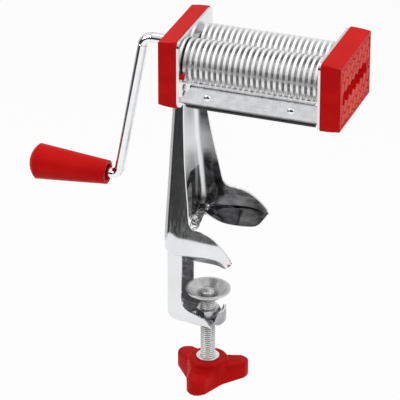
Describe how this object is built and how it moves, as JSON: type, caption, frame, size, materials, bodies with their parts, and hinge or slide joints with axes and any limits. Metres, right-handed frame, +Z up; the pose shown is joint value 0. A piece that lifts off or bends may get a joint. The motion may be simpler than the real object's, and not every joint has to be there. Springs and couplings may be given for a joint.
{
  "type": "hand cranked pasta cutter",
  "caption": "Hand cranked pasta cutter: two interleaved ring rollers between red end caps, on a pressed steel stand with a table clamp and a knob screw.",
  "frame": {"origin": "the clamp screw's axis where it meets the table plane, the plane of the two ears' lands", "axes": "+X along the rollers, away from the crank; +Y to the back; +Z up, along the clamp screw"},
  "size_m": [0.2293, 0.0766, 0.2591],
  "materials": {
    "plated_sheet": "bright plated pressed sheet",
    "bright_sheet": "bright drawn sheet",
    "roller_steel": "turned and plated",
    "plated_rod": "bright plated rod",
    "satin_steel": "zinc plated, satin",
    "steel": "plain steel",
    "brass": "turned",
    "red_plastic": "moulded, glossy red"
  },
  "bodies": {
    "frame": {"clamp_stand": "plated_sheet", "jaw_nut": "steel", "left_end_plate": "plated_sheet", "right_end_plate": "plated_sheet", "left_cap": "red_plastic", "right_cap": "red_plastic", "front_rail": "bright_sheet", "rear_rail": "bright_sheet", "front_comb": "bright_sheet", "rear_comb": "bright_sheet", "rail_rivets": "steel", "bearing_bushes": "brass", "stand_rivets": "steel"},
    "crank": {"crank_rod": "plated_rod", "crank_pin": "steel", "rear_roller": "roller_steel", "rear_gear": "brass", "rear_circlip": "steel", "grip_clip": "steel"},
    "front_roller": {"front_roller": "roller_steel", "front_gear": "brass", "front_circlips": "steel"},
    "grip": {"crank_grip": "red_plastic"},
    "clamp_pad": {"clamp_disc": "satin_steel"},
    "clamp_screw": {"clamp_screw": "satin_steel", "screw_button": "satin_steel", "tri_knob": "red_plastic", "knob_ferrule": "satin_steel"}
  },
  "joints": [
    {"name": "crank_turn", "type": "hinge", "parent": "frame", "child": "crank", "pos_m": [0, 0.0125, 0.1362], "axis": [1, 0, 0], "continuous": true},
    {"name": "front_roller_turn", "type": "hinge", "parent": "frame", "child": "front_roller", "pos_m": [0, -0.0125, 0.1362], "axis": [1, 0, 0], "continuous": true},
    {"name": "grip_spin", "type": "hinge", "parent": "crank", "child": "grip", "pos_m": [-0.1, 0.0125, 0.0329], "axis": [1, 0, 0], "continuous": true},
    {"name": "pad_slide", "type": "slide", "parent": "frame", "child": "clamp_pad", "axis": [0, 0, 1], "range_m": [-0.00401, 0.02801]},
    {"name": "screw_turn", "type": "hinge", "parent": "clamp_pad", "child": "clamp_screw", "pos_m": [0, 0, 0], "axis": [0, 0, 1], "range_deg": [-960, 6720]}
  ],
  "couplings": [
    {"joint": "front_roller_turn", "follows": "crank_turn", "ratio": -1},
    {"joint": "pad_slide", "follows": "screw_turn", "m_per_rad": 0.00023873}
  ]
}
